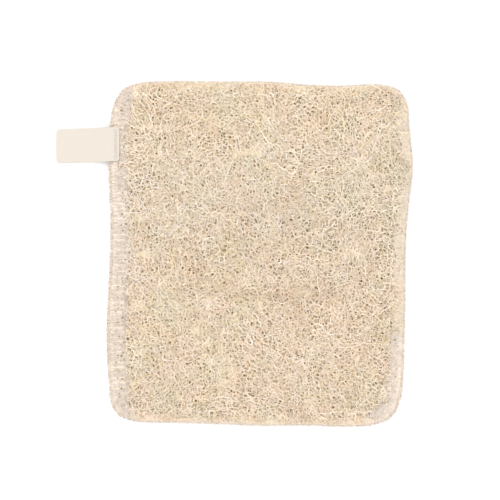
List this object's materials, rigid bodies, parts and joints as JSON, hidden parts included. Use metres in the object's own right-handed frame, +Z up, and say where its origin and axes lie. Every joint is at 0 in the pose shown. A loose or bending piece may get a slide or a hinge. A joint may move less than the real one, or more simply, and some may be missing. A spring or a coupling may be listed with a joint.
{
  "type": "natural loofah sponge",
  "caption": "Flat bath sponge of natural loofah: a pressed rectangular pad of fibre net with rounded corners, an overlocked edge and a folded cotton tape label.",
  "frame": {"origin": "middle of the pad's underside, on the plane that it lies on; the label sticks out to -X and does not shift it", "axes": "+Z up, through the pad's thickness; +X away from the label; +Y towards the edge that the label is near"},
  "size_m": [0.1665, 0.161, 0.008],
  "materials": {
    "loofah": "matte dried plant fibre",
    "cotton_thread": "matte spun thread",
    "cotton_tape": "matte woven tape"
  },
  "bodies": {
    "root": {"loofah_pad": "loofah", "overlock_upper_looper": "cotton_thread", "overlock_lower_looper": "cotton_thread", "overlock_needle_thread": "cotton_thread", "label_tape": "cotton_tape", "label_stitching": "cotton_thread"}
  },
  "joints": []
}
